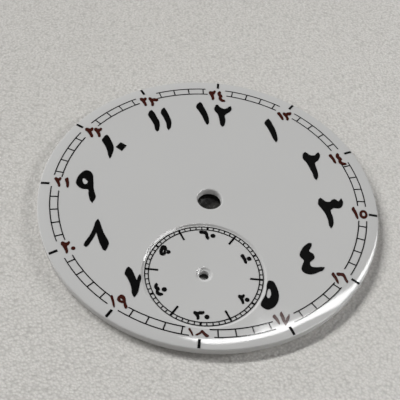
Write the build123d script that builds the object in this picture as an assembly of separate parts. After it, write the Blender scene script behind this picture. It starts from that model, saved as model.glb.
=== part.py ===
from build123d import *
from math import sin, cos, tan, sqrt, radians
import os

# Enamel watch dial with a sunk seconds field at 6 o'clock.
# The frame: millimetres, the origin on the centre hole's axis in the plane of the rim's seat,
# +Z out of the front, +Y to 12 o'clock and +X to 3 o'clock.

# Sizes of the whole plate
dial_diameter = 36.9
plate_height = 1.0
shoulder_width = 1.6
shoulder_radius = 12.0
edge_rounding = 0.25
seat_width = 0.5
seat_rounding = 0.18

# Thickness of the layers, from the front
front_thickness = 0.3
copper_thickness = 0.22
counter_thickness = 0.18
rim_cover = 0.35
hole_cover = 0.25

# Centre hole
centre_hole_radius = 1.25
centre_lip_rounding = 0.3
back_lip_rounding = 0.08

# Seconds field, pressed into the blank: its place is a share of the dial's radius, and it reaches
# nearly to the minute track
seconds_place_share = 0.531
recess_margin = 0.08
recess_depth = 0.14
recess_slope_width = 0.2
recess_softness = 0.2
seconds_hole_radius = 0.48
seconds_dip_width = 0.65
seconds_dip_depth = 0.33

# Feet, brazed to the blank
foot_inset = 1.35
foot_length = 1.8
foot_radius = 0.4
foot_tip_chamfer = 0.12
foot_head_radius = 0.65
foot_head_thickness = 0.25
braze_width = 0.35
braze_height = 0.18
bare_ring_width = 0.2
foot_angles = [30, 150, 270]

# Fired paint, measured inwards from the dial's edge and from the foot of the seconds field's step
paint_thickness = 0.03
hour_tick_margin = 0.12
hour_tick_length = 0.93
hour_tick_width = 0.27
track_to_tick = 0.28
track_width = 0.86
rail_width = 0.11
rung_width = 0.12
seconds_track_margin = 0.16
seconds_track_width = 0.37
seconds_rail_width = 0.1
seconds_rung_width = 0.1
seconds_bold_width = 0.22
seconds_long_tick_length = 0.97
seconds_long_tick_width = 0.2

# The rails stop short of the red figure at each hour, which leans its own way: the degrees left
# free before and after the hour on the outer rail, then on the inner rail, from 12 o'clock on
rail_gaps = [
    (5.0, 3.1, 4.1, 3.8),
    (3.8, 2.9, 4.1, 3.6),
    (3.0, 4.4, 3.4, 4.3),
    (3.6, 3.2, 3.9, 3.5),
    (1.2, 5.2, 2.3, 5.1),
    (2.3, 4.6, 3.9, 4.4),
    (4.7, 3.5, 3.2, 5.1),
    (1.7, 2.6, 4.0, 3.7),
    (4.0, 3.7, 4.0, 3.3),
    (1.3, 4.2, 3.2, 3.7),
    (2.6, 3.8, 3.7, 4.5),
    (4.1, 4.7, 3.9, 4.4),
]

# Room past a face for a cut that has to run out of it
overrun = 1.0

# What follows from the sizes
dial_radius = dial_diameter / 2
flat_radius = dial_radius - shoulder_width
hour_tick_outer_radius = dial_radius - hour_tick_margin
hour_tick_inner_radius = hour_tick_outer_radius - hour_tick_length
rail_outer_radius = hour_tick_inner_radius - track_to_tick
rail_inner_radius = rail_outer_radius - track_width
seconds_offset = seconds_place_share * dial_radius
recess_floor_radius = rail_inner_radius - recess_margin - seconds_offset - recess_slope_width
seconds_rail_outer_radius = recess_floor_radius - seconds_track_margin
seconds_rail_inner_radius = seconds_rail_outer_radius - seconds_track_width
seconds_long_tick_inner_radius = seconds_rail_inner_radius - seconds_long_tick_length
foot_circle_radius = flat_radius - foot_inset
copper_depth = front_thickness
counter_depth = front_thickness + copper_thickness
back_depth = counter_depth + counter_thickness
blank_radius = dial_radius - rim_cover
seat_inner_radius = dial_radius - seat_rounding - seat_width
recess_slope_angle = Vector(recess_slope_width, recess_depth).get_angle(Vector(1, 0))
seconds_floor_height = plate_height - recess_depth
blank_underside = plate_height - counter_depth
back_height = plate_height - back_depth
foot_tip_height = back_height - foot_length
bare_radius = foot_head_radius + braze_width + bare_ring_width
seconds_place = Location((0, -seconds_offset, 0))


def turned(outline):
    """Turn an outline in the radius and height plane about the dial's axis."""
    return revolve(Plane.XZ * make_face(outline), Axis.Z)


def under_surface(depth, inner, outer, bottom):
    """Everything under the domed surface that lies the given depth below the front."""
    level = plate_height - depth
    radius = shoulder_radius - depth
    run = outer - flat_radius
    fall = radius - sqrt(radius**2 - run**2)
    middle_run = run / 2
    middle_fall = radius - sqrt(radius**2 - middle_run**2)
    top = Line((inner, level), (flat_radius, level))
    shoulder = ThreePointArc(
        (flat_radius, level),
        (flat_radius + middle_run, level - middle_fall),
        (outer, level - fall),
    )
    rest = Polyline((outer, level - fall), (outer, bottom), (inner, bottom), (inner, level))
    return turned([top, shoulder, rest])


def pan(depth):
    """The pressed seconds field, from its floor in the surface at the given depth, upwards."""
    level = plate_height - depth
    floor = level - recess_depth
    half = radians(recess_slope_angle) / 2
    foot = recess_floor_radius - depth * tan(half)
    top = foot + recess_slope_width
    run = recess_softness * tan(half)
    across = run * cos(2 * half)
    up = run * sin(2 * half)
    path = [
        Line((0, floor), (foot - run, floor)),
        RadiusArc((foot - run, floor), (foot + across, floor + up), -recess_softness),
        Line((foot + across, floor + up), (top - across, level - up)),
        RadiusArc((top - across, level - up), (top + run, level), recess_softness),
        Polyline((top + run, level), (top + run, level + overrun), (0, level + overrun), (0, floor)),
    ]
    return seconds_place * turned(path)


def front_form(growth):
    """The dial's outer form down to the seat plane, grown all over by the given amount."""
    body = under_surface(-growth, 0, dial_radius + growth, -growth)
    rim = body.edges().filter_by(GeomType.CIRCLE).sort_by(lambda edge: edge.radius)[-2:]
    body = fillet(rim.sort_by(Axis.Z)[-1], edge_rounding + growth)
    seat_edge = body.edges().filter_by(GeomType.CIRCLE).sort_by(Axis.Z)[0]
    return fillet(seat_edge, seat_rounding + growth)


def centre_hole():
    """The centre hole with its rounded lips at the front and at the back."""
    lip = centre_lip_rounding
    back = back_lip_rounding
    wall = centre_hole_radius
    low = back_height
    path = [
        Polyline((0, -overrun), (wall + back, -overrun), (wall + back, low)),
        RadiusArc((wall + back, low), (wall, low + back), back),
        Line((wall, low + back), (wall, plate_height - lip)),
        RadiusArc((wall, plate_height - lip), (wall + lip, plate_height), lip),
        Polyline(
            (wall + lip, plate_height),
            (wall + lip, plate_height + overrun),
            (0, plate_height + overrun),
            (0, -overrun),
        ),
    ]
    return turned(path)


def seconds_hole():
    """The seconds hole, where the enamel sinks softly towards the wall."""
    back = back_lip_rounding
    wall = seconds_hole_radius
    low = back_height - recess_depth
    high = seconds_floor_height
    path = [
        Polyline((0, -overrun), (wall + back, -overrun), (wall + back, low)),
        RadiusArc((wall + back, low), (wall, low + back), back),
        Line((wall, low + back), (wall, high - seconds_dip_depth)),
        EllipticalCenterArc(
            (wall + seconds_dip_width, high - seconds_dip_depth),
            seconds_dip_width,
            seconds_dip_depth,
            start_angle=90,
            arc_size=90,
        ),
        Polyline(
            (wall + seconds_dip_width, high),
            (wall + seconds_dip_width, high + overrun),
            (0, high + overrun),
            (0, -overrun),
        ),
    ]
    return seconds_place * turned(path)


def enamelled_plate():
    """The whole plate as it leaves the kiln, without its feet and its paint."""
    form = front_form(0) - pan(0)
    hollow = under_surface(back_depth, 0, seat_inner_radius, -overrun) - pan(back_depth)
    return form - hollow - centre_hole() - seconds_hole()


def blank_reach():
    """The space under the blank's front face and within its outline."""
    inner = centre_hole_radius + hole_cover
    reach = under_surface(copper_depth, inner, blank_radius, -overrun) - pan(copper_depth)
    collar = Cylinder(seconds_hole_radius + hole_cover, 4 * plate_height)
    return reach - seconds_place * collar


def above_blank_underside():
    """The space over the blank's underside, which parts the blank from the counter-enamel."""
    block = Cylinder(2 * dial_radius, 4 * plate_height)
    low = under_surface(counter_depth, 0, blank_radius + overrun, -4 * plate_height)
    return block - low + pan(counter_depth)


def at_feet(shape):
    """One copy of a shape on each foot's place."""
    return [Rotation(0, 0, 90 - angle) * Pos(foot_circle_radius, 0, 0) * shape for angle in foot_angles]


def foot():
    """A pin with a wide head, its tip chamfered to find its hole."""
    head_low = blank_underside - foot_head_thickness
    outline = Polyline(
        (0, foot_tip_height),
        (foot_radius - foot_tip_chamfer, foot_tip_height),
        (foot_radius, foot_tip_height + foot_tip_chamfer),
        (foot_radius, head_low),
        (foot_head_radius, head_low),
        (foot_head_radius, blank_underside),
        (0, blank_underside),
        close=True,
    )
    return turned([outline])


def braze():
    """The ring of braze that climbs from the blank onto the foot's head."""
    inner = foot_head_radius
    low = blank_underside - braze_height
    outer = inner + braze_width
    hollow_radius = (braze_width**2 + braze_height**2) / (2 * braze_height)
    path = [
        RadiusArc((inner, low), (outer, blank_underside), hollow_radius),
        Polyline((outer, blank_underside), (inner, blank_underside), (inner, low)),
    ]
    return turned(path)


def clock(angle, shape):
    """Turn a shape that points to 12 o'clock clockwise to the given angle."""
    return Rotation(0, 0, -angle) * shape


def bar(inner, outer, width):
    """A straight flat stroke along the radius at 12 o'clock."""
    return Pos(0, (inner + outer) / 2) * Rectangle(width, outer - inner)


def rail(radius, width, start, end):
    """A curved flat stroke round the dial between two clock angles."""
    ring = Circle(radius + width / 2) - Circle(radius - width / 2)
    reach = 2 * radius
    half = radians(end - start) / 2
    corner = (reach * sin(half), reach * cos(half))
    wedge = make_face(Polyline((0, 0), (-corner[0], corner[1]), corner, close=True))
    return ring & clock((start + end) / 2, wedge)


def paint_film():
    """The film in which the fired paint of the main dial lies."""
    return front_form(paint_thickness) - front_form(0)


def upright(flat):
    """A flat pattern made tall enough to pass through the paint film on the front."""
    return Pos(0, 0, back_height) * extrude(flat, plate_height)


def minute_track():
    """Twelve ladders, open at the hours: two rails and four rungs each."""
    film = paint_film()
    ladders = []
    for hour in range(12):
        _, outer_after, _, inner_after = rail_gaps[hour]
        outer_before, _, inner_before, _ = rail_gaps[(hour + 1) % 12]
        start = 30 * hour
        end = start + 30
        flat = rail(rail_inner_radius, rail_width, start + inner_after, end - inner_before)
        flat += rail(rail_outer_radius, rail_width, start + outer_after, end - outer_before)
        for minute in range(1, 5):
            rung = bar(rail_inner_radius, rail_outer_radius, rung_width)
            flat += clock(start + 6 * minute, rung)
        ladders.append(film & upright(flat))
    return ladders


def hour_ticks():
    """Twelve short strokes that run over the shoulder to the edge."""
    film = paint_film()
    stroke = bar(hour_tick_inner_radius, hour_tick_outer_radius, hour_tick_width)
    return [film & upright(clock(30 * hour, stroke)) for hour in range(12)]


def seconds_track():
    """The seconds ring: sixty rungs, a bold one at each fifth and six long strokes inwards."""
    half = seconds_rail_width / 2
    flat = Circle(seconds_rail_outer_radius + half) - Circle(seconds_rail_outer_radius - half)
    flat += Circle(seconds_rail_inner_radius + half) - Circle(seconds_rail_inner_radius - half)
    for second in range(60):
        width = seconds_bold_width if second % 5 == 0 else seconds_rung_width
        flat += clock(6 * second, bar(seconds_rail_inner_radius, seconds_rail_outer_radius, width))
    for second in range(5, 60, 10):
        stroke = bar(seconds_long_tick_inner_radius, seconds_rail_inner_radius, seconds_long_tick_width)
        flat += clock(6 * second, stroke)
    return seconds_place * Pos(0, 0, seconds_floor_height) * extrude(flat, paint_thickness)


def solids_of(shapes):
    """All solids of a list of shapes, as one group."""
    return Compound([solid for shape in shapes for solid in shape.solids()])


plate = enamelled_plate()
reach = blank_reach()
parting = above_blank_underside()
core = plate & reach
bare_rings = at_feet(Pos(0, 0, blank_underside / 2) * Cylinder(bare_radius, blank_underside))

nodes = {
    "front_enamel": [plate - reach],
    "base_plate": [core & parting],
    "counter_enamel": [core - parting - bare_rings],
    "minute_track": minute_track(),
    "hour_ticks": hour_ticks(),
    "seconds_track": [seconds_track()],
}
for number, shape in enumerate(at_feet(foot()), 1):
    nodes[f"dial_foot_{number}"] = [shape]
for number, shape in enumerate(at_feet(braze()), 1):
    nodes[f"foot_braze_{number}"] = [shape]

os.makedirs("parts", exist_ok=True)
for name, shapes in nodes.items():
    export_step(solids_of(shapes), f"parts/{name}.step")
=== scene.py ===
from math import asin, atan2, cos, dist, pi, radians, sin, sqrt, tan

import bmesh
import bpy
import numpy as np
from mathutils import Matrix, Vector


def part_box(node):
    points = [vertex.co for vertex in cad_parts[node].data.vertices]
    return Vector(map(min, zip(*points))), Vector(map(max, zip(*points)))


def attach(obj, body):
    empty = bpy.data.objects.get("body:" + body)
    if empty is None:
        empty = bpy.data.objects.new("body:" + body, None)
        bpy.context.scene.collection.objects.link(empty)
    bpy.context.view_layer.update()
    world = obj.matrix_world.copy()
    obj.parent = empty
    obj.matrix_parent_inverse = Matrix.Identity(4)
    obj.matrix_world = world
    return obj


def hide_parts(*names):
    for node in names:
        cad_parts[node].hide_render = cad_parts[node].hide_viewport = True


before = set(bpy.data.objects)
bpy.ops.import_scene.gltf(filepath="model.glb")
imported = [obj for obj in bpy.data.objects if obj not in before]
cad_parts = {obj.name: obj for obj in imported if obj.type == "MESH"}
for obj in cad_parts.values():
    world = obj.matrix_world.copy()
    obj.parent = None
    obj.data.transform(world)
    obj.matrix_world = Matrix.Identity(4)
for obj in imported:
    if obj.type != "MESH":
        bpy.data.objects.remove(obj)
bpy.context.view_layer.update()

# Looks of an enamel watch dial with a sunk seconds field. The frame is the CAD's: metres, the
# origin on the centre hole's axis in the plane of the rim's seat, +Z out of the front, +Y to
# 12 o'clock and +X to 3 o'clock. Lengths below are millimetres unless a comment says otherwise.
MM = 0.001

# Driving sizes of the enamelled plate. They are those of the part's source, but the edge's
# rounding and the lips of both holes are tighter, where the photo's highlights ask for it.
DIAL_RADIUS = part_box("front_enamel")[1].x / MM
PLATE_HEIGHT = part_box("front_enamel")[1].z / MM
SHOULDER_WIDTH = 1.6
SHOULDER_RADIUS = 12.0
EDGE_ROUNDING = 0.15
SEAT_ROUNDING = 0.18
ENAMEL_THICKNESS = 0.3
PLATE_THICKNESS = 0.7
RIM_COVER = 0.35
HOLE_COVER = 0.25
CENTRE_HOLE_RADIUS = 1.25
CENTRE_EDGE_RADIUS = 1.5
CENTRE_LIP_ROUNDING = 0.17
BACK_LIP_ROUNDING = 0.08
HOLE_LEAN = radians(80)
SECONDS_PLACE_SHARE = 0.531
RECESS_TOP_RADIUS = 6.446
RECESS_DEPTH = 0.14
RECESS_SLOPE = radians(35)
RECESS_SOFTNESS = 0.2
SECONDS_HOLE_RADIUS = 0.48
SECONDS_EDGE_RADIUS = 0.57
SECONDS_LIP_ROUNDING = 0.05
DISH_RADIUS = 0.95
DISH_STEEPEST = radians(40)
DISH_SLOPE = radians(10)
DISH_SOFTNESS = 0.3
PAINT_THICKNESS = 0.03

# What follows from them
FLAT_RADIUS = DIAL_RADIUS - SHOULDER_WIDTH
BLANK_RADIUS = DIAL_RADIUS - RIM_COVER
SHOULDER_CENTRE_HEIGHT = PLATE_HEIGHT - SHOULDER_RADIUS
BLANK_TOP = PLATE_HEIGHT - ENAMEL_THICKNESS
BACK_HEIGHT = PLATE_HEIGHT - PLATE_THICKNESS
SECONDS_PLACE = (0.0, -SECONDS_PLACE_SHARE * DIAL_RADIUS * MM, 0.0)

# How finely the enamel and the paint are drawn: steps around and in each rounding, how often flat
# paint is split so that it follows the enamel, the flat strip that each turned piece brings with
# it, what is welded and what stays a hard edge
SEGMENTS = 360
SHOULDER_STEPS = 16
EDGE_STEPS = 14
SEAT_STEPS = 8
BACK_LIP_STEPS = 5
BEND_STEPS = 10
PAINT_SPLITS = 2
FLAT_MARGIN = 0.15
WELD = 0.0005 * MM
HARD_ANGLE = radians(28)


def add(tree, kind, inputs=None, **settings):
    """Add a node with its settings, and set or link its inputs. One input takes a whole list."""
    made = tree.nodes.new(kind)
    for name, value in settings.items():
        setattr(made, name, value)
    for key, value in (inputs or {}).items():
        for one in value if isinstance(value, list) else [value]:
            if isinstance(one, bpy.types.NodeSocket):
                tree.links.new(one, made.inputs[key])
            else:
                made.inputs[key].default_value = one
    return made


def linear(code, alpha=1.0):
    """The linear colour of an sRGB hex code."""
    parts = [int(code[i:i + 2], 16) / 255 for i in (1, 3, 5)]
    return (*(p / 12.92 if p <= 0.04045 else ((p + 0.055) / 1.055) ** 2.4 for p in parts), alpha)


# Node trees that make the shapes


def new_tree(name, sockets):
    """A geometry node tree with named inputs and one geometry output."""
    tree = bpy.data.node_groups.new(name, "GeometryNodeTree")
    for label, kind in sockets:
        tree.interface.new_socket(label, in_out="INPUT", socket_type=kind)
    tree.interface.new_socket("Geometry", in_out="OUTPUT", socket_type="NodeSocketGeometry")
    return tree, add(tree, "NodeGroupInput").outputs


def turned_tree():
    """Turns the points of a profile object, which lie at (radius, 0, height), about the Z axis."""
    tree, given = new_tree("turned_profile", [
        ("Profile", "NodeSocketObject"),
        ("Segments", "NodeSocketInt"),
        ("Place", "NodeSocketVector"),
    ])
    profile = add(tree, "GeometryNodeObjectInfo", {"Object": given["Profile"]})
    size = add(tree, "GeometryNodeAttributeDomainSize", {"Geometry": profile.outputs["Geometry"]})
    count = size.outputs["Point Count"]
    around = add(tree, "ShaderNodeMath", {0: given["Segments"], 1: 1.0}, operation="ADD")
    grid = add(tree, "GeometryNodeMeshGrid", {
        "Vertices X": around.outputs[0], "Vertices Y": count,
    })
    index = add(tree, "GeometryNodeInputIndex").outputs[0]
    along = add(tree, "ShaderNodeMath", {0: index, 1: count}, operation="MODULO").outputs[0]
    turn = add(tree, "ShaderNodeMath", {0: index, 1: count}, operation="DIVIDE").outputs[0]
    step = add(tree, "ShaderNodeMath", {0: turn}, operation="FLOOR").outputs[0]
    share = add(tree, "ShaderNodeMath", {0: step, 1: given["Segments"]}, operation="DIVIDE")
    angle = add(tree, "ShaderNodeMath", {0: share.outputs[0], 1: 2 * pi}, operation="MULTIPLY")
    where = add(tree, "GeometryNodeInputPosition").outputs[0]
    point = add(tree, "GeometryNodeSampleIndex", {
        "Geometry": profile.outputs["Geometry"], "Value": where, "Index": along,
    }, data_type="FLOAT_VECTOR")
    laid = add(tree, "ShaderNodeVectorRotate", {
        "Vector": point.outputs[0], "Angle": angle.outputs[0],
    }, rotation_type="Z_AXIS")
    placed = add(tree, "ShaderNodeVectorMath", {0: laid.outputs[0], 1: given["Place"]},
                 operation="ADD")
    moved = add(tree, "GeometryNodeSetPosition", {
        "Geometry": grid.outputs["Mesh"], "Position": placed.outputs[0],
    })
    add(tree, "NodeGroupOutput", {"Geometry": moved.outputs[0]})
    return tree


def enamel_tree(turned):
    """The front enamel: a turned rim, a turned centre hole and a turned seconds field, which the
    flat face joins above and the blank's side joins below."""
    tree, given = new_tree("enamel_plate", [
        ("Rim", "NodeSocketObject"),
        ("Centre hole", "NodeSocketObject"),
        ("Seconds field", "NodeSocketObject"),
        ("Segments", "NodeSocketInt"),
        ("Seconds place", "NodeSocketVector"),
        ("Rim radius", "NodeSocketFloat"),
        ("Hole radius", "NodeSocketFloat"),
        ("Field radius", "NodeSocketFloat"),
        ("Face height", "NodeSocketFloat"),
        ("Blank height", "NodeSocketFloat"),
        ("Weld", "NodeSocketFloat"),
        ("Material", "NodeSocketMaterial"),
    ])
    bodies = []
    circles = []
    for outline, radius in (
        ("Rim", "Rim radius"), ("Centre hole", "Hole radius"), ("Seconds field", "Field radius"),
    ):
        place = given["Seconds place"] if outline == "Seconds field" else (0.0, 0.0, 0.0)
        bodies.append(add(tree, "GeometryNodeGroup", {
            "Profile": given[outline], "Segments": given["Segments"], "Place": place,
        }, node_tree=turned))
        circle = add(tree, "GeometryNodeCurvePrimitiveCircle", {
            "Resolution": given["Segments"], "Radius": given[radius],
        }, mode="RADIUS")
        circles.append(add(tree, "GeometryNodeTransform", {
            "Geometry": circle.outputs["Curve"], "Translation": place,
        }).outputs[0])
    outlines = add(tree, "GeometryNodeJoinGeometry", {"Geometry": circles})
    sheet = add(tree, "GeometryNodeFillCurve", {"Curve": outlines.outputs[0]})
    for label in ("Face height", "Blank height"):
        up = add(tree, "ShaderNodeCombineXYZ", {"Z": given[label]})
        bodies.append(add(tree, "GeometryNodeTransform", {
            "Geometry": sheet.outputs[0], "Translation": up.outputs[0],
        }))
    joined = add(tree, "GeometryNodeJoinGeometry", {"Geometry": [b.outputs[0] for b in bodies]})
    welded = add(tree, "GeometryNodeMergeByDistance", {
        "Geometry": joined.outputs[0], "Distance": given["Weld"],
    })
    real = add(tree, "GeometryNodeRealizeInstances", {"Geometry": welded.outputs[0]})
    dressed = add(tree, "GeometryNodeSetMaterial", {
        "Geometry": real.outputs[0], "Material": given["Material"],
    })
    add(tree, "NodeGroupOutput", {"Geometry": dressed.outputs[0]})
    return tree


def paint_tree():
    """Fired paint: fills flat outlines, gives them their thickness and lays them on the enamel."""
    tree, given = new_tree("fired_paint", [
        ("Outlines", "NodeSocketGeometry"),
        ("Surface", "NodeSocketObject"),
        ("Thickness", "NodeSocketFloat"),
        ("Start height", "NodeSocketFloat"),
        ("Weld", "NodeSocketFloat"),
        ("Material", "NodeSocketMaterial"),
    ])
    filled = add(tree, "GeometryNodeFillCurve", {"Curve": given["Outlines"]})
    sheet = add(tree, "GeometryNodeSubdivideMesh", {
        "Mesh": filled.outputs[0], "Level": PAINT_SPLITS,
    })
    up = add(tree, "ShaderNodeCombineXYZ", {"Z": 1.0})
    raised = add(tree, "GeometryNodeExtrudeMesh", {
        "Mesh": sheet.outputs[0], "Offset": up.outputs[0], "Offset Scale": given["Thickness"],
        "Individual": False,
    }, mode="FACES")
    under = add(tree, "GeometryNodeFlipFaces", {"Mesh": sheet.outputs[0]})
    closed = add(tree, "GeometryNodeJoinGeometry", {
        "Geometry": [raised.outputs[0], under.outputs[0]],
    })
    welded = add(tree, "GeometryNodeMergeByDistance", {
        "Geometry": closed.outputs[0], "Distance": given["Weld"],
    })
    where = add(tree, "GeometryNodeInputPosition").outputs[0]
    split = add(tree, "ShaderNodeSeparateXYZ", {0: where})
    above = add(tree, "ShaderNodeCombineXYZ", {
        "X": split.outputs["X"], "Y": split.outputs["Y"], "Z": given["Start height"],
    })
    surface = add(tree, "GeometryNodeObjectInfo", {"Object": given["Surface"]})
    ray = add(tree, "GeometryNodeRaycast", {
        "Target Geometry": surface.outputs["Geometry"], "Source Position": above.outputs[0],
        "Ray Direction": (0.0, 0.0, -1.0), "Ray Length": 1.0,
    })
    height = add(tree, "ShaderNodeSeparateXYZ", {0: ray.outputs["Hit Position"]})
    lift = add(tree, "ShaderNodeCombineXYZ", {"Z": height.outputs["Z"]})
    laid = add(tree, "GeometryNodeSetPosition", {
        "Geometry": welded.outputs[0], "Offset": lift.outputs[0],
    })
    real = add(tree, "GeometryNodeRealizeInstances", {"Geometry": laid.outputs[0]})
    dressed = add(tree, "GeometryNodeSetMaterial", {
        "Geometry": real.outputs[0], "Material": given["Material"],
    })
    add(tree, "NodeGroupOutput", {"Geometry": dressed.outputs[0]})
    return tree


def made_piece(name, source, tree, values):
    """Run a tree on an object with named input values, and keep the result as a plain mesh."""
    modifier = source.modifiers.new(name, "NODES")
    modifier.node_group = tree
    for item in tree.interface.items_tree:
        if item.in_out == "INPUT" and item.name in values:
            modifier[item.identifier] = values[item.name]
    bpy.context.view_layer.update()
    graph = bpy.context.evaluated_depsgraph_get()
    mesh = bpy.data.meshes.new_from_object(source.evaluated_get(graph), depsgraph=graph)
    source.modifiers.remove(modifier)
    bpy.data.objects.remove(source)
    soft = bmesh.new()
    soft.from_mesh(mesh)
    bmesh.ops.remove_doubles(soft, verts=soft.verts, dist=WELD)
    bmesh.ops.recalc_face_normals(soft, faces=soft.faces)
    for face in soft.faces:
        face.smooth = True
    soft.to_mesh(mesh)
    soft.free()
    mesh.set_sharp_from_angle(angle=HARD_ANGLE)
    piece = bpy.data.objects.new(name, mesh)
    mesh.name = name
    bpy.context.scene.collection.objects.link(piece)
    return piece


# The enamel's profiles


def arc(centre, radius, start, end, steps):
    """Points on an arc in the radius and height plane, between two angles in radians."""
    return [
        (centre[0] + radius * cos(start + (end - start) * i / steps),
         centre[1] + radius * sin(start + (end - start) * i / steps))
        for i in range(steps + 1)
    ]


def profile(name, points):
    """An object whose points are a profile in the radius and height plane, doubles left out."""
    kept = [p for i, p in enumerate(points) if i == 0 or Vector(p) != Vector(points[i - 1])]
    mesh = bpy.data.meshes.new(name)
    mesh.from_pydata([(r * MM, 0.0, h * MM) for r, h in kept], [], [])
    thing = bpy.data.objects.new(name, mesh)
    bpy.context.scene.collection.objects.link(thing)
    return thing


def rim_points():
    """From the flat face over the shoulder, the edge and the seat, and back along the blank."""
    centre = (FLAT_RADIUS, SHOULDER_CENTRE_HEIGHT)
    edge_r = DIAL_RADIUS - EDGE_ROUNDING
    edge_h = centre[1] + sqrt((SHOULDER_RADIUS - EDGE_ROUNDING) ** 2 - (edge_r - FLAT_RADIUS) ** 2)
    lean = asin((edge_r - FLAT_RADIUS) / (SHOULDER_RADIUS - EDGE_ROUNDING))
    inner = SHOULDER_RADIUS - ENAMEL_THICKNESS
    turn_back = asin((BLANK_RADIUS - FLAT_RADIUS) / inner)
    seat = (DIAL_RADIUS - SEAT_ROUNDING, SEAT_ROUNDING)
    return [
        (FLAT_RADIUS - FLAT_MARGIN, PLATE_HEIGHT),
        *arc(centre, SHOULDER_RADIUS, pi / 2, pi / 2 - lean, SHOULDER_STEPS),
        *arc((edge_r, edge_h), EDGE_ROUNDING, pi / 2 - lean, 0, EDGE_STEPS)[1:],
        (DIAL_RADIUS, (edge_h + SEAT_ROUNDING) / 2),
        *arc(seat, SEAT_ROUNDING, 0, -pi / 2, SEAT_STEPS),
        (BLANK_RADIUS, 0.0),
        *arc(centre, inner, pi / 2 - turn_back, pi / 2, SEAT_STEPS),
        (FLAT_RADIUS - FLAT_MARGIN, BLANK_TOP),
    ]


def bend(softness, start, end):
    """How far in and down a surface goes while it bends from one tilt to another."""
    tilts = [start + (end - start) * i / BEND_STEPS for i in range(BEND_STEPS + 1)]
    return [
        (abs(softness * (sin(t) - sin(start))), abs(softness * (cos(start) - cos(t))))
        for t in tilts
    ]


def bent(start, *bends):
    """The points of some bends, one after the other: each has its softness and its two tilts."""
    points = [start]
    for turn in bends:
        radius, height = points[-1]
        points += [(radius - x, height - z) for x, z in bend(*turn)[1:]]
    return points


def wall_below(lip_end, wall, rounding):
    """From the end of a lip down the leaning wall and over a rounding into the upright one."""
    turn = bend(rounding, HOLE_LEAN, pi / 2)
    foot = wall + turn[-1][0]
    height = lip_end[1] - (lip_end[0] - foot) * tan(HOLE_LEAN)
    return [(foot - x, height - z) for x, z in turn]


def centre_hole_points():
    """From the flat face over the soft lip, down the wall and back up against the blank."""
    wall = CENTRE_HOLE_RADIUS
    back = BACK_LIP_ROUNDING
    lip = bent((CENTRE_EDGE_RADIUS, PLATE_HEIGHT), (CENTRE_LIP_ROUNDING, 0.0, HOLE_LEAN))
    return [
        (CENTRE_EDGE_RADIUS + FLAT_MARGIN, PLATE_HEIGHT),
        *lip,
        *wall_below(lip[-1], wall, CENTRE_LIP_ROUNDING),
        *arc((wall + back, BACK_HEIGHT + back), back, pi, 3 * pi / 2, BACK_LIP_STEPS),
        (wall + HOLE_COVER, BACK_HEIGHT),
        (wall + HOLE_COVER, BLANK_TOP),
        (CENTRE_EDGE_RADIUS + FLAT_MARGIN, BLANK_TOP),
    ]


def field_step(depth, radius_at_top):
    """The softened step of the pressed field in the surface at a depth, from its top inwards."""
    half = bend(RECESS_SOFTNESS, 0.0, RECESS_SLOPE)
    run, drop = half[-1]
    top = radius_at_top - depth * tan(RECESS_SLOPE / 2)
    foot = top - 2 * run - (RECESS_DEPTH - 2 * drop) / tan(RECESS_SLOPE)
    level = PLATE_HEIGHT - depth
    return [
        *((top - x, level - z) for x, z in half),
        *((foot + x, level - RECESS_DEPTH + z) for x, z in reversed(half)),
    ]


def seconds_field_points():
    """From the flat face down the step, over the floor and the dish around the hole into it, and
    back along the blank."""
    wall = SECONDS_HOLE_RADIUS
    back = BACK_LIP_ROUNDING
    floor = PLATE_HEIGHT - RECESS_DEPTH
    low = BACK_HEIGHT - RECESS_DEPTH
    dish = bent((DISH_RADIUS, floor),
                (DISH_SOFTNESS, 0.0, DISH_STEEPEST), (DISH_SOFTNESS, DISH_STEEPEST, DISH_SLOPE))
    run = dish[-1][0] - SECONDS_EDGE_RADIUS
    lip = bent((SECONDS_EDGE_RADIUS, dish[-1][1] - run * tan(DISH_SLOPE)),
               (SECONDS_LIP_ROUNDING, DISH_SLOPE, HOLE_LEAN))
    step_below = field_step(ENAMEL_THICKNESS, RECESS_TOP_RADIUS)
    return [
        (RECESS_TOP_RADIUS + FLAT_MARGIN, PLATE_HEIGHT),
        *field_step(0.0, RECESS_TOP_RADIUS),
        *dish,
        *lip,
        *wall_below(lip[-1], wall, SECONDS_LIP_ROUNDING),
        *arc((wall + back, low + back), back, pi, 3 * pi / 2, BACK_LIP_STEPS),
        (wall + HOLE_COVER, low),
        (wall + HOLE_COVER, floor - ENAMEL_THICKNESS),
        *reversed(step_below),
        (RECESS_TOP_RADIUS + FLAT_MARGIN, BLANK_TOP),
    ]


# The figures

# Outlines of figures on the face, in millimetres to 3 and 12 o'clock, drawn by hand with a
# brush's swelling strokes. A third value of 1 marks a corner; all other points are smooth.
ONE = [(-2.02, 14.75, 1), (-2.26, 14.25), (-2.32, 13.8), (-2.1, 13.45), (-1.75, 12.9),
       (-1.45, 12.3), (-1.2, 11.7), (-0.95, 11.1, 1), (-0.86, 11.35), (-0.86, 11.9), (-1.0, 12.6),
       (-1.3, 13.4), (-1.65, 14.1), (-1.9, 14.6)]
TWO = [(10.52, 8.35, 1), (10.75, 8.1), (11.0, 7.9), (11.35, 7.83), (11.7, 7.95), (11.9, 8.25),
       (12.07, 8.5, 1), (12.15, 8.1), (12.05, 7.6), (11.85, 7.2), (11.6, 6.9), (11.55, 6.7),
       (11.6, 6.4), (11.75, 5.8), (11.85, 5.2), (11.85, 4.7), (11.72, 4.25, 1), (11.6, 4.5),
       (11.4, 5.2), (11.15, 5.8), (10.9, 6.4), (10.6, 6.95), (10.35, 7.25), (10.3, 7.6),
       (10.35, 8.0)]
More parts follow.
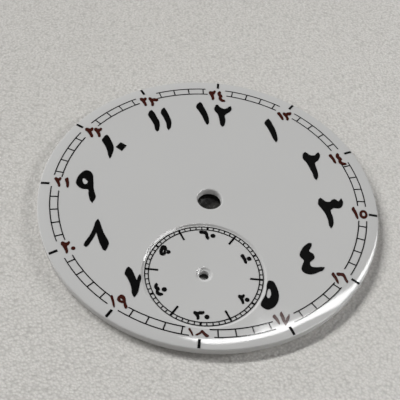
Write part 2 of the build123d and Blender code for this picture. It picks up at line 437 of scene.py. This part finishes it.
THREE = [(12.15, 1.72, 1), (12.4, 1.4), (12.65, 1.2), (12.95, 1.15), (13.25, 1.25), (13.42, 1.5),
         (13.65, 1.75, 1), (13.85, 1.55), (14.05, 1.4), (14.2, 1.45), (14.42, 1.95, 1),
         (14.52, 1.5), (14.5, 1.1), (14.35, 0.75), (14.1, 0.55), (13.8, 0.53), (13.5, 0.5),
         (13.3, 0.35), (13.13, 0.1), (13.15, -0.2), (13.3, -0.7), (13.37, -1.3), (13.33, -1.9),
         (13.17, -2.42, 1), (13.05, -2.0), (12.95, -1.3), (12.75, -0.6), (12.5, -0.1),
         (12.2, 0.35), (11.95, 0.75), (11.93, 1.1), (12.02, 1.5)]
FOUR = [(11.02, -4.65, 1), (10.95, -4.9), (10.8, -5.3), (10.66, -5.65), (10.85, -5.9),
        (11.05, -6.0), (11.2, -6.27), (11.2, -6.55), (11.05, -6.75), (10.9, -6.9), (10.75, -7.1),
        (10.75, -7.4), (10.85, -7.65), (11.1, -7.75), (11.5, -7.75), (12.0, -7.65),
        (12.35, -7.57, 1), (12.1, -7.9), (11.7, -8.15), (11.3, -8.4), (10.9, -8.55), (10.5, -8.53),
        (10.2, -8.4), (10.02, -8.1), (10.05, -7.75), (10.15, -7.4), (10.25, -7.0), (10.2, -6.85),
        (10.0, -6.65), (9.83, -6.4), (9.85, -6.1), (9.98, -5.75), (10.2, -5.3), (10.5, -4.95),
        (10.8, -4.7)]
SEVEN = [(-7.68, -9.85, 1), (-7.45, -10.1), (-7.2, -10.5), (-7.0, -10.9), (-6.85, -11.2),
         (-6.68, -11.4, 1), (-6.55, -11.1), (-6.47, -10.8), (-6.42, -10.6, 1), (-6.37, -10.9),
         (-6.34, -11.2), (-6.4, -11.6), (-6.42, -12.0), (-6.45, -12.5), (-6.55, -13.0),
         (-6.72, -13.42, 1), (-6.9, -13.0), (-7.0, -12.5), (-7.15, -12.0), (-7.4, -11.5),
         (-7.7, -11.0), (-7.88, -10.77), (-7.85, -10.4), (-7.78, -10.1)]
EIGHT = [(-11.55, -4.15, 1), (-11.4, -4.55), (-11.2, -5.0), (-11.0, -5.5), (-10.75, -6.0),
         (-10.45, -6.5), (-10.2, -6.9), (-10.1, -7.2), (-10.15, -7.6), (-10.23, -8.18, 1),
         (-10.45, -8.0), (-10.7, -7.6), (-10.95, -7.1), (-11.2, -6.5), (-11.5, -5.95, 1),
         (-11.65, -6.3), (-11.8, -6.8), (-12.0, -7.3), (-12.15, -7.7), (-12.3, -7.95, 1),
         (-12.45, -7.7), (-12.4, -7.4), (-12.2, -6.9), (-12.0, -6.4), (-11.85, -5.8),
         (-11.75, -5.2), (-11.68, -4.6)]
NINE = [(-13.6, 2.27), (-13.25, 2.1), (-13.0, 1.7), (-12.9, 1.2), (-12.8, 0.6), (-12.7, 0.0),
        (-12.55, -0.5), (-12.4, -0.9), (-12.3, -1.22), (-12.35, -1.6), (-12.47, -2.12, 1),
        (-12.65, -1.8), (-12.85, -1.3), (-12.98, -0.8), (-13.05, -0.4), (-13.2, -0.25),
        (-13.6, -0.25), (-14.0, -0.15), (-14.3, 0.1), (-14.5, 0.4), (-14.5, 0.9), (-14.4, 1.4),
        (-14.2, 1.8), (-13.95, 2.15)]
NINE_EYE = [(-13.9, 1.15), (-13.55, 0.98), (-13.35, 0.65), (-13.6, 0.35), (-13.85, 0.6),
            (-13.97, 0.95)]
SIX = [(-0.75, -4.4), (-0.6, -4.36), (-0.3, -4.36), (-0.1, -4.3, 1), (-0.02, -4.5), (0.08, -4.9),
       (0.17, -5.25), (0.08, -5.41, 1), (-0.02, -5.2), (-0.12, -4.9), (-0.22, -4.68),
       (-0.45, -4.62), (-0.68, -4.65), (-0.78, -4.52)]
SMALL_SEVEN = [(7.85, -13.4, 1), (8.02, -13.78), (8.18, -14.2), (8.27, -14.45, 1), (8.42, -14.1),
               (8.65, -13.6, 1), (8.62, -14.0), (8.48, -14.55), (8.3, -15.0, 1), (8.1, -14.65),
               (7.88, -14.15), (7.75, -13.7)]

HOUR_FIGURES = {
    "12": [ONE, [
        (0.15, 14.6, 1), (0.4, 14.15), (0.75, 13.97), (0.9, 13.93), (1.3, 14.1), (1.55, 14.4),
        (1.72, 14.55, 1), (1.72, 14.1), (1.55, 13.65), (1.2, 13.3), (0.97, 12.95), (1.0, 12.6),
        (1.08, 12.2), (1.05, 11.7), (0.9, 11.2), (0.8, 11.05, 1), (0.68, 11.4), (0.55, 12.0),
        (0.42, 12.6), (0.25, 13.1), (-0.05, 13.5), (-0.17, 13.85), (-0.1, 14.2), (0.0, 14.5)]],
    "1": [[
        (6.2, 13.12, 1), (5.98, 12.7), (5.85, 12.3), (5.95, 12.05), (6.15, 11.75), (6.4, 11.2),
        (6.65, 10.6), (6.85, 10.1), (7.13, 9.4, 1), (7.22, 9.7), (7.22, 10.2), (7.1, 10.9),
        (6.9, 11.6), (6.6, 12.3), (6.35, 12.85)]],
    "2": [TWO],
    "3": [THREE],
    "4": [FOUR],
    "5": [[
        (6.65, -9.87, 1), (6.95, -10.0), (7.2, -10.4), (7.4, -10.9), (7.52, -11.5), (7.5, -12.0),
        (7.35, -12.5), (7.1, -12.9), (6.8, -13.15), (6.5, -13.27), (6.15, -13.15), (5.9, -12.95),
        (5.8, -12.78, 1), (5.95, -12.5), (6.13, -12.1), (6.28, -11.75), (6.38, -11.3),
        (6.43, -10.8), (6.46, -10.3), (6.5, -9.95, 1)], [
        (6.6, -10.87), (6.8, -11.3), (6.78, -11.7), (6.55, -12.0), (6.4, -11.85), (6.38, -11.6),
        (6.47, -11.1)]],
    "7": [SEVEN],
    "8": [EIGHT],
    "9": [NINE, NINE_EYE],
    "10": [[
        (-12.2, 7.97, 1), (-11.95, 7.55), (-11.7, 7.1), (-11.5, 6.7), (-11.32, 6.2),
        (-11.27, 5.65), (-11.33, 5.1), (-11.4, 4.7), (-11.45, 4.4, 1), (-11.6, 4.9), (-11.7, 5.3),
        (-11.95, 5.9), (-12.2, 6.4), (-12.45, 6.8), (-12.6, 7.05), (-12.45, 7.5), (-12.3, 7.8)], [
        (-10.52, 7.0, 1), (-9.8, 6.6, 1), (-10.25, 5.7, 1), (-11.0, 6.2, 1)]],
    "11": [[
        (-7.55, 12.6, 1), (-7.3, 12.2), (-7.05, 11.75), (-6.85, 11.35), (-6.6, 10.9), (-6.5, 10.4),
        (-6.48, 9.9), (-6.55, 9.4), (-6.65, 9.25, 1), (-6.8, 9.6), (-6.95, 10.2), (-7.2, 10.7),
        (-7.5, 11.2), (-7.75, 11.6), (-7.83, 11.8), (-7.8, 12.1), (-7.7, 12.4)], [
        (-6.15, 13.25, 1), (-5.9, 12.7), (-5.6, 12.1), (-5.35, 11.5), (-5.2, 11.0), (-5.17, 10.5),
        (-5.22, 10.0), (-5.31, 9.63, 1), (-5.45, 10.0), (-5.6, 10.7), (-5.85, 11.3), (-6.1, 11.8),
        (-6.35, 12.2), (-6.4, 12.5), (-6.3, 12.9)]],
}

# The hour figures whose second outline is the eye in the first
EYED = ("5", "9")

# The small figures, each placed by three points of its outline. All but the 6 and the 7 are the
# large ones drawn again.
MARKS = {
    "1": ([ONE], (-2.02, 14.75), (-2.32, 13.8), (-0.95, 11.1)),
    "2": ([TWO], (10.3, 7.6), (12.07, 8.5), (11.72, 4.25)),
    "3": ([THREE], (11.93, 1.1), (14.42, 1.95), (13.17, -2.42)),
    "4": ([FOUR], (11.02, -4.65), (9.83, -6.4), (12.35, -7.57)),
    "6": ([SIX], (-0.78, -4.52), (-0.1, -4.3), (0.08, -5.41)),
    "7": ([SMALL_SEVEN], (7.85, -13.4), (8.65, -13.6), (8.3, -15.0)),
    "8": ([EIGHT], (-11.55, -4.15), (-12.3, -7.95), (-10.23, -8.18)),
    "9": ([NINE, NINE_EYE], (-13.6, 2.27), (-14.5, 0.65), (-12.47, -2.12)),
}

# The red hours 13 to 24 in the gaps of the minute track. The points are, for a 1: top, leftmost,
# tip; 2 and 3: leftmost, right horn, tip; 4: top, leftmost, tail; 6: left end, corner, tip;
# 7: left horn, right horn, tip; 8: top, left foot, right foot; 9: top, left, tip. A 0 has its
# centre and its radius, and a 5 its top, left, bottom and right, and its eye's middle and size.
DAY_FIGURES = [
    ("2", (-0.96, 16.5), (-0.33, 17.0), (-0.48, 15.3)),
    ("4", (0.35, 16.85), (0.1, 16.35), (0.98, 15.4)),
    ("1", (7.45, 14.4), (7.33, 14.1), (7.9, 13.1)),
    ("3", (8.0, 14.2), (8.83, 14.6), (8.5, 13.1)),
    ("1", (13.45, 8.4), (13.33, 8.1), (13.95, 7.0)),
    ("4", (14.38, 8.6), (14.15, 8.0), (15.25, 7.2)),
    ("1", (15.7, 0.9), (15.6, 0.45), (16.1, -0.8)),
    ("5", (16.85, 0.5), (16.4, -0.1), (16.75, -0.58), (17.17, 0.0), (16.8, -0.03), (0.2, 0.3)),
    ("1", (13.17, -8.1), (13.07, -8.45), (13.65, -9.5)),
    ("6", (13.58, -8.3), (14.25, -8.05), (14.6, -9.3)),
    ("1", (7.15, -13.85), (7.05, -14.15), (7.65, -14.95)),
    ("7", (7.85, -13.4), (8.65, -13.6), (8.3, -15.0)),
    ("1", (-1.05, -16.27), (-1.1, -16.45), (-0.67, -17.12)),
    ("8", (0.22, -16.36), (-0.32, -17.02), (0.75, -17.12)),
    ("1", (-8.9, -13.4), (-9.0, -13.6), (-8.55, -14.8)),
    ("9", (-7.9, -13.3), (-8.3, -13.8), (-7.35, -14.85)),
    ("2", (-14.82, -7.8), (-14.07, -7.4), (-14.07, -9.0)),
    ("0", (-13.52, -8.25), 0.17),
    ("2", (-16.9, 0.7), (-16.35, 1.0), (-16.27, -0.4)),
    ("1", (-15.62, 1.05), (-15.78, 0.7), (-15.42, -0.4)),
    ("2", (-14.7, 8.45), (-14.0, 8.87), (-13.83, 7.3)),
    ("2", (-13.7, 8.6), (-13.0, 8.95), (-13.02, 7.45)),
    ("2", (-9.05, 14.2), (-8.5, 14.6), (-8.3, 13.15)),
    ("3", (-8.05, 14.5), (-7.1, 14.65), (-7.55, 13.25)),
]
SECONDS_FIGURES = [
    ("6", (-0.78, -4.52), (-0.1, -4.3), (0.08, -5.41)),
    ("0", (0.62, -4.83), 0.19),
    ("1", (3.8, -6.81), (3.68, -7.1), (4.18, -8.0)),
    ("0", (4.5, -7.32), 0.18),
    ("2", (3.6, -12.05), (4.1, -11.73), (4.07, -12.9)),
    ("0", (4.45, -12.35), 0.17),
    ("3", (-0.72, -14.4), (0.2, -14.12), (-0.3, -15.2)),
    ("0", (0.57, -14.78), 0.18),
    ("4", (-4.6, -11.45), (-4.8, -11.95), (-3.92, -12.58)),
    ("0", (-3.85, -12.07), 0.19),
    ("5", (-4.35, -6.72), (-4.7, -7.3), (-4.45, -7.92), (-4.08, -7.3), (-4.38, -7.4), (0.08, 0.2)),
    ("0", (-3.87, -7.45), 0.17),
]

# How much fatter than their outlines the figures are painted. The red ones grow a little bolder
# from 6 to 12 o'clock, by the swell for each millimetre.
HOUR_BOLDNESS = 0.08
DAY_BOLDNESS = 0.065
DAY_SWELL = 0.0015
SECONDS_BOLDNESS = 0.07

# Steps of a curve between two points of an outline
OUTLINE_STEPS = 6


def bolder(outline, growth):
    """A closed outline with its points moved outwards, square to the line through the points
    beside them. Corners stay."""
    count = len(outline)
    pairs = [(outline[i], outline[(i + 1) % count]) for i in range(count)]
    area = sum(p[0] * q[1] - q[0] * p[1] for p, q in pairs)
    moved = []
    for i, (x, y, *corner) in enumerate(outline):
        before, after = outline[i - 1], outline[(i + 1) % count]
        out = Vector((after[1] - before[1], before[0] - after[0])).normalized()
        if not corner:
            out *= growth if area > 0 else -growth
            x, y = x + out.x, y + out.y
        moved.append((x, y, *corner))
    return moved


def oval(middle, half, tall):
    """The four points of an oval with its half width and half height."""
    x, y = middle
    return [(x + half, y), (x, y + tall), (x - half, y), (x, y - tall)]


def small_figure(boldness, figure, *points):
    """The outlines of one small figure: the first is its body, and a second is the eye in it."""
    if figure == "0":
        middle, radius = points
        body, *eyes = [oval(middle, radius, radius)]
    elif figure == "5":
        top, left, bottom, right, middle, size = points
        body, *eyes = [top, right, bottom, left], oval(middle, *size)
    else:
        outlines, *old = MARKS[figure]
        rule = np.linalg.solve(np.array([[*p, 1.0] for p in old]), np.array(points))
        body, *eyes = [
            [(*(np.array([x, y, 1.0]) @ rule), *corner) for x, y, *corner in outline]
            for outline in outlines
        ]
    return [bolder(body, boldness), *(bolder(eye, -boldness / 2) for eye in eyes)]


def hour_outlines():
    """The outlines of the hour figures, of which the eyes stay as they are drawn."""
    return [
        outline if hour in EYED and number == 1 else bolder(outline, HOUR_BOLDNESS)
        for hour, drawing in HOUR_FIGURES.items() for number, outline in enumerate(drawing)
    ]


def day_outlines():
    """The outlines of the red figures."""
    return [
        outline for figure, place, *rest in DAY_FIGURES
        for outline in small_figure(DAY_BOLDNESS + DAY_SWELL * place[1], figure, place, *rest)
    ]


def seconds_outlines():
    """The outlines of the seconds field's figures."""
    return [o for figure in SECONDS_FIGURES for o in small_figure(SECONDS_BOLDNESS, *figure)]


def drawn(name, outlines):
    """Closed smooth curves through the points of outlines, with corners where they are marked."""
    data = bpy.data.curves.new(name, "CURVE")
    data.dimensions = "2D"
    data.fill_mode = "NONE"
    for outline in outlines:
        spline = data.splines.new("BEZIER")
        spline.bezier_points.add(len(outline) - 1)
        spline.use_cyclic_u = True
        spline.resolution_u = OUTLINE_STEPS
        for point, (x, y, *corner) in zip(spline.bezier_points, outline):
            point.co = (x * MM, y * MM, 0.0)
            kind = "VECTOR" if corner else "AUTO"
            point.handle_left_type = kind
            point.handle_right_type = kind
    thing = bpy.data.objects.new(name, data)
    bpy.context.scene.collection.objects.link(thing)
    return thing


# Materials

# Where noise has nearly all its values
NOISE_RANGE = (0.3, 0.7)

# The floor's grain and glints, and the shares of the dial's radius where the painted shade under
# the dial fades from dark into the floor's own tones
GRAIN_SIZE = 0.27
GRAIN_DEPTH = 0.06
GLINT_SIZE = 0.4
SHADE_ENDS = (0.4, 0.9)


def material(name, values):
    """A material with a Principled shader with some values set, and its tree, shader and Object
    coordinates."""
    made = bpy.data.materials.new(name)
    made.use_nodes = True
    tree = made.node_tree
    tree.nodes.clear()
    shader = add(tree, "ShaderNodeBsdfPrincipled", values)
    add(tree, "ShaderNodeOutputMaterial", {"Surface": shader.outputs[0]})
    place = add(tree, "ShaderNodeTexCoord").outputs["Object"]
    return made, tree, shader, place


def dress(tree, shader, tone, gloss, skin, inward=False):
    """Feed a shader from three patterns: its colour with a pattern and two colours, its roughness
    with noise and two values, and its normal with a height and that height's full range in
    millimetres, which goes outwards or inwards."""
    pattern, first, second = tone
    colour = add(tree, "ShaderNodeMix", {0: pattern, 6: first, 7: second}, data_type="RGBA")
    noise, low, high = gloss
    roughness = add(tree, "ShaderNodeMapRange", {
        "Value": noise, "From Min": NOISE_RANGE[0], "From Max": NOISE_RANGE[1],
        "To Min": low, "To Max": high,
    })
    height, depth = skin
    normal = add(tree, "ShaderNodeBump", {
        "Height": height, "Strength": 1.0, "Distance": depth * MM,
    }, invert=inward)
    tree.links.new(colour.outputs[2], shader.inputs["Base Color"])
    tree.links.new(roughness.outputs[0], shader.inputs["Roughness"])
    tree.links.new(normal.outputs[0], shader.inputs["Normal"])


def clouded(name, values, tone, gloss, skin):
    """A material whose tone, gloss and skin each change with cloudy noise. Each starts with the
    size of its blotches in millimetres and the noise's detail. Then come two close tones, two
    roughness values, and the skin's depth in millimetres."""
    made, tree, shader, place = material(name, values)
    clouds = [
        add(tree, "ShaderNodeTexNoise", {
            "Vector": place, "Scale": 1 / (size * MM), "Detail": detail,
        }).outputs["Fac"]
        for size, detail, *_ in (tone, gloss, skin)
    ]
    dress(tree, shader, (clouds[0], linear(tone[2]), linear(tone[3])), (clouds[1], *gloss[2:]),
          (clouds[2], *skin[2:]))
    return made


def white_enamel():
    """Vitreous enamel, fired in several coats and polished: a clean cool white like glass, with a
    hard gloss, a barely wavy skin and hardly any change of tone."""
    return clouded(
        "polished vitreous enamel", {"IOR": 1.52}, tone=(9.0, 2.0, "#B6B6B5", "#B9B9B8"),
        gloss=(2.5, 2.0, 0.045, 0.075), skin=(3.0, 1.0, 0.0012))


def back_enamel():
    """Counter-enamel, fired on the back and left as it comes from the kiln: greyer, with an orange
    peel skin, so its gloss is broken up."""
    return clouded(
        "counter-enamel", {"IOR": 1.52}, tone=(0.5, 4.0, "#9C9D9A", "#B4B5B2"),
        gloss=(1.2, 2.0, 0.12, 0.25), skin=(0.8, 2.0, 0.02))


def fired_paint(name, dark, light, shine, low, high):
    """Ground enamel paint, drawn with a brush and fired in: dense and a little uneven. Thick
    strokes stay nearly matt and dark in the light, thin ones melt in and shine with the enamel."""
    return clouded(
        name, {"IOR": 1.5, "Specular IOR Level": shine}, tone=(0.35, 2.0, dark, light),
        gloss=(0.3, 2.0, low, high), skin=(0.4, 2.0, 0.0015))


def copper():
    """Pressed copper, dulled by the kiln: reddish metal with darker clouds of oxide."""
    return clouded(
        "kiln-dulled copper", {"Metallic": 1.0}, tone=(0.9, 4.0, "#9A5A3E", "#D08A66"),
        gloss=(0.4, 2.0, 0.25, 0.42), skin=(0.15, 2.0, 0.004))


def braze():
    """Silver braze, run and set: pale yellowish metal with a rippled skin."""
    return clouded(
        "silver braze", {"Metallic": 1.0}, tone=(0.3, 3.0, "#B3A27C", "#D6C9A4"),
        gloss=(0.25, 2.0, 0.2, 0.35), skin=(0.2, 2.0, 0.008))


def grained_sheet():
    """A pale coated sheet with a fine pressed grain: matt, a little warm, with tiny glints. Under
    the dial, where only the holes show it, a painted shade makes it dark and smooths its grain."""
    made, tree, shader, place = material("grained coated sheet", {"IOR": 1.45})
    cells = add(tree, "ShaderNodeTexVoronoi", {"Vector": place, "Scale": 1 / (GRAIN_SIZE * MM)})
    glints = add(tree, "ShaderNodeTexNoise", {"Vector": place, "Scale": 1 / (GLINT_SIZE * MM)})
    grain = cells.outputs["Distance"]
    sheet = add(tree, "ShaderNodeMix", {
        0: grain, 6: linear("#D0CECA"), 7: linear("#AEACA8"),
    }, data_type="RGBA")
    # Painted shade: near the dial's middle the floor's colour is a dark tone and its relief fades
    # out, and between the shade's two ends it turns into the grain's own tones.
    away = add(tree, "ShaderNodeVectorMath", {0: place}, operation="LENGTH").outputs["Value"]
    clear = add(tree, "ShaderNodeMapRange", {
        "Value": away, "From Min": SHADE_ENDS[0] * DIAL_RADIUS * MM,
        "From Max": SHADE_ENDS[1] * DIAL_RADIUS * MM,
    }).outputs[0]
    relief = add(tree, "ShaderNodeMath", {0: grain, 1: clear}, operation="MULTIPLY")
    dress(tree, shader, (clear, linear("#2A2926"), sheet.outputs[2]),
          (glints.outputs["Fac"], 0.16, 0.3), (relief.outputs[0], GRAIN_DEPTH), inward=True)
    return made


ENAMEL = white_enamel()
BACK = back_enamel()
BLACK = fired_paint("fired black enamel paint", "#020202", "#060606", 0.05, 0.4, 0.55)
THIN_BLACK = fired_paint("thin glossy black enamel paint", "#040404", "#0B0B0B", 0.45, 0.06, 0.1)
RED = fired_paint("fired maroon enamel paint", "#30120C", "#401D17", 0.45, 0.08, 0.13)
COPPER = copper()
BRAZE = braze()

# The object

enamel_source = bpy.data.objects.new("enamel_source", bpy.data.meshes.new("enamel_source"))
bpy.context.scene.collection.objects.link(enamel_source)
profiles = {
    "Rim": profile("rim_profile", rim_points()),
    "Centre hole": profile("centre_hole_profile", centre_hole_points()),
    "Seconds field": profile("seconds_field_profile", seconds_field_points()),
}
enamel = made_piece("enamel_face", enamel_source, enamel_tree(turned_tree()), {
    **profiles,
    "Segments": SEGMENTS,
    "Seconds place": SECONDS_PLACE,
    "Rim radius": (FLAT_RADIUS - FLAT_MARGIN) * MM,
    "Hole radius": (CENTRE_EDGE_RADIUS + FLAT_MARGIN) * MM,
    "Field radius": (RECESS_TOP_RADIUS + FLAT_MARGIN) * MM,
    "Face height": PLATE_HEIGHT * MM,
    "Blank height": BLANK_TOP * MM,
    "Weld": WELD,
    "Material": ENAMEL,
})
for thing in profiles.values():
    bpy.data.objects.remove(thing)
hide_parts("front_enamel")
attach(enamel, "root")

figures = {
    "hour_figures": (hour_outlines(), BLACK, "black_paint"),
    "day_hour_figures": (day_outlines(), RED, "red_paint"),
    "seconds_figures": (seconds_outlines(), BLACK, "black_paint"),
}
painting = paint_tree()
for name, (outlines, paint, slot) in figures.items():
    piece = made_piece(name, drawn(name + "_outlines", outlines), painting, {
        "Surface": enamel,
        "Thickness": PAINT_THICKNESS * MM,
        "Start height": 2 * PLATE_HEIGHT * MM,
        "Weld": WELD,
        "Material": paint,
    })
    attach(piece, "root")

# What the CAD's own nodes are made of, by how their names start
FINISHES = {
    "base_plate": COPPER,
    "counter_enamel": BACK,
    "minute_track": THIN_BLACK,
    "hour_ticks": BLACK,
    "seconds_track": BLACK,
    "dial_foot": COPPER,
    "foot_braze": BRAZE,
}
for name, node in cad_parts.items():
    for start, finish in FINISHES.items():
        if name.startswith(start):
            for place in node.material_slots:
                place.material = finish

# Floor, light and camera

FLOOR_SIZE = 4000.0
half = FLOOR_SIZE / 2 * MM
floor_mesh = bpy.data.meshes.new("floor")
floor_mesh.from_pydata(
    [(-half, -half, 0), (half, -half, 0), (half, half, 0), (-half, half, 0)], [], [(0, 1, 2, 3)])
floor_mesh.materials.append(grained_sheet())
floor = bpy.data.objects.new("floor", floor_mesh)
bpy.context.scene.collection.objects.link(floor)

# The lamps hang at one height, pointing straight down. Each has the middles of its two ends, as
# shares of that height to 3 and 12 o'clock, its width as such a share, and its radiance, where 1
# is white. The strips only shine in the gloss, where they make the highlights, and the softboxes
# only give the light and the shadows.
LIGHT_HEIGHT = 3000.0
LAMPS = {
    "near_strip": ((0.03, 0.41), (0.22, 0.53), 0.1, 13.0),
    "middle_strip": ((0.12, 0.56), (0.4, 0.54), 0.1, 13.0),
    "far_strip": ((0.37, 0.52), (0.66, 0.84), 0.055, 13.0),
    "panel_strip": ((0.42, -0.05), (1.5, -0.15), 0.6, 10.0),
    "right_strip": ((0.8, 0.28), (2.2, 1.15), 0.22, 17.0),
    "left_softbox": ((-0.6, 1.17), (-2.0, 0.66), 0.3, 60.0),
    "right_softbox": ((1.7, 0.3), (2.6, 1.2), 0.34, 40.0),
}
for name, (start, end, width, radiance) in LAMPS.items():
    data = bpy.data.lights.new(name, "AREA")
    data.shape = "RECTANGLE"
    data.size = dist(start, end) * LIGHT_HEIGHT * MM
    data.size_y = width * LIGHT_HEIGHT * MM
    data.energy = radiance * pi * data.size * data.size_y
    lamp = bpy.data.objects.new(name, data)
    middle = Vector((*((a + b) / 2 for a, b in zip(start, end)), 1.0))
    lamp.location = middle * LIGHT_HEIGHT * MM + Vector((0, 0, PLATE_HEIGHT * MM))
    lamp.rotation_euler = (0, 0, atan2(end[1] - start[1], end[0] - start[0]))
    lamp.visible_diffuse = not name.endswith("strip")
    lamp.visible_glossy = name.endswith("strip")
    bpy.context.scene.collection.objects.link(lamp)

# The room: pale at the horizon, further up at 6 o'clock, and dim overhead. A direction's height,
# plus a share of its way to 12 o'clock, goes from pale to dim between two values, and the paler
# result of both shares counts. The camera sees a plain pale tone instead.
FADE = (0.1, 0.35)
LEANS = (0.0, 0.5)
ROOM_STRENGTH = 1.25
world = bpy.data.worlds.new("room")
bpy.context.scene.world = world
world.use_nodes = True
room = world.node_tree
room.nodes.clear()
direction = add(room, "ShaderNodeTexCoord").outputs["Generated"]
facing = add(room, "ShaderNodeSeparateXYZ", {0: direction}).outputs
fades = []
for lean in LEANS:
    raised = add(room, "ShaderNodeMath", {0: facing["Y"], 1: lean, 2: facing["Z"]},
                 operation="MULTIPLY_ADD")
    fades.append(add(room, "ShaderNodeMapRange", {
        "Value": raised.outputs[0], "From Min": FADE[0], "From Max": FADE[1],
    }, interpolation_type="SMOOTHSTEP").outputs[0])
upward = add(room, "ShaderNodeMath", {0: fades[0], 1: fades[1]}, operation="MINIMUM")
tone = add(room, "ShaderNodeMix", {
    0: upward.outputs[0], 6: linear("#DCDAD8"), 7: linear("#272728"),
}, data_type="RGBA")
seen = add(room, "ShaderNodeLightPath").outputs["Is Camera Ray"]
shown = add(room, "ShaderNodeMix", {
    0: seen, 6: tone.outputs[2], 7: linear("#ADABA7"),
}, data_type="RGBA")
backdrop = add(room, "ShaderNodeBackground", {
    "Color": shown.outputs[2], "Strength": ROOM_STRENGTH,
})
add(room, "ShaderNodeOutputWorld", {"Surface": backdrop.outputs[0]})

# The camera as fitted to the photo: its place, its turn in degrees, its lens and sensor, and how
# near and how far it sees
CAMERA_PLACE = (-2.862, -59.413, 72.988)
CAMERA_TURN = (39.2094, -4.4353, 3.6526)
CAMERA_LENS = 77.58
CAMERA_SENSOR = 36.0
CAMERA_SEES = (5.0, 5000.0)
camera_data = bpy.data.cameras.new("camera")
camera_data.lens = CAMERA_LENS
camera_data.sensor_width = CAMERA_SENSOR
camera_data.clip_start, camera_data.clip_end = (reach * MM for reach in CAMERA_SEES)
camera = bpy.data.objects.new("camera", camera_data)
camera.location = Vector(CAMERA_PLACE) * MM
camera.rotation_euler = [radians(a) for a in CAMERA_TURN]
bpy.context.scene.collection.objects.link(camera)
bpy.context.scene.camera = camera

bpy.context.scene.view_settings.view_transform = "Standard"
